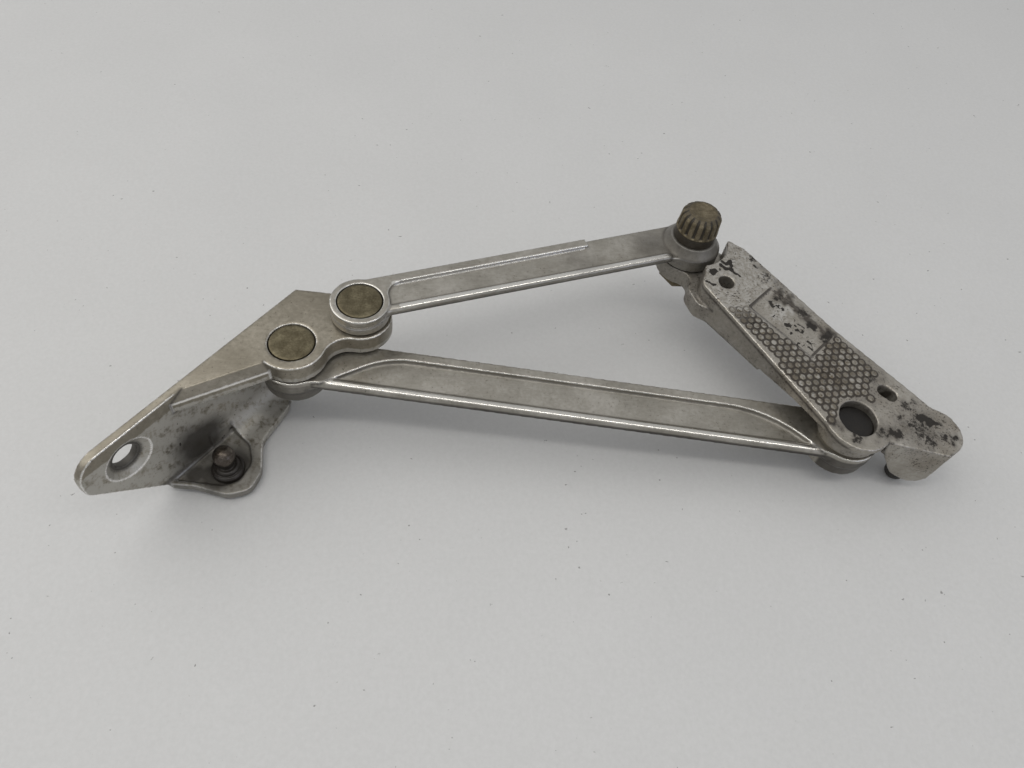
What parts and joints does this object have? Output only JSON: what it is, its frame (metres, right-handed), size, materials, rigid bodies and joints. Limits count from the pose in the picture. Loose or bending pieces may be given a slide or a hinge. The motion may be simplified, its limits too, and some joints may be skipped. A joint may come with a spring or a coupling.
{
  "type": "boot lid hinge",
  "caption": "Cast aluminium boot lid hinge: a body bracket and a lid bracket with a ball stud, joined by an upper and a lower link that fold about parallel pivots.",
  "frame": {"origin": "centre of the body bracket's locating hole, at its mouth in the pad's face", "axes": "+Z along the pivots, out of the locating hole's mouth; +X along the hinge from the lid bracket to the body bracket; +Y from the lower towards the upper link"},
  "size_m": [0.3061, 0.1318, 0.0672],
  "materials": {
    "cast_aluminium": "satin cast, tarnished, with dirt in the corners",
    "tarnished_steel": "flush pin heads, dull olive tarnish",
    "dark_steel": "dark phosphated steel",
    "washer_steel": "plain washers, dull",
    "sintered_bronze": "plain bearing bush",
    "black_rubber": "moulded rubber stop"
  },
  "bodies": {
    "body_bracket": {"body_bracket": "cast_aluminium", "stop_buffer": "black_rubber", "body_upper_bolt": "dark_steel", "body_upper_collar": "dark_steel", "body_upper_nut": "dark_steel", "body_lower_pin": "dark_steel", "body_lower_tail_washer": "washer_steel"},
    "lower_link": {"lower_link": "cast_aluminium", "lid_lower_bush": "sintered_bronze", "body_lower_bush": "sintered_bronze", "lid_lower_washer": "washer_steel", "body_lower_washer": "washer_steel"},
    "lid_bracket": {"lid_bracket": "cast_aluminium", "lid_lower_pin": "tarnished_steel", "lid_lower_tail_washer": "washer_steel", "lid_upper_pin_foot": "tarnished_steel", "ball_stud": "dark_steel"},
    "upper_link": {"upper_link": "cast_aluminium", "lid_upper_pin": "tarnished_steel", "lid_upper_washer": "washer_steel", "body_upper_bush": "sintered_bronze", "body_upper_washer": "washer_steel"}
  },
  "joints": [
    {"name": "lower_link_pivot", "type": "hinge", "parent": "body_bracket", "child": "lower_link", "pos_m": [0.04233, -0.05775, -0.00728], "axis": [0, 0, 1], "range_deg": [-35.8, 0]},
    {"name": "lid_bracket_pivot", "type": "hinge", "parent": "lower_link", "child": "lid_bracket", "pos_m": [-0.16417, -0.04045, -0.00728], "axis": [0, 0, 1], "range_deg": [0, 112]},
    {"name": "upper_link_pivot", "type": "hinge", "parent": "body_bracket", "child": "upper_link", "pos_m": [-0.01127, 0.02195, -0.00728], "axis": [0, 0, 1], "range_deg": [-55.6, 0]}
  ],
  "couplings": [
    {"joint": "lid_bracket_pivot", "follows": "lower_link_pivot", "ratio": -3.1284},
    {"joint": "upper_link_pivot", "follows": "lower_link_pivot", "ratio": 1.5524}
  ]
}
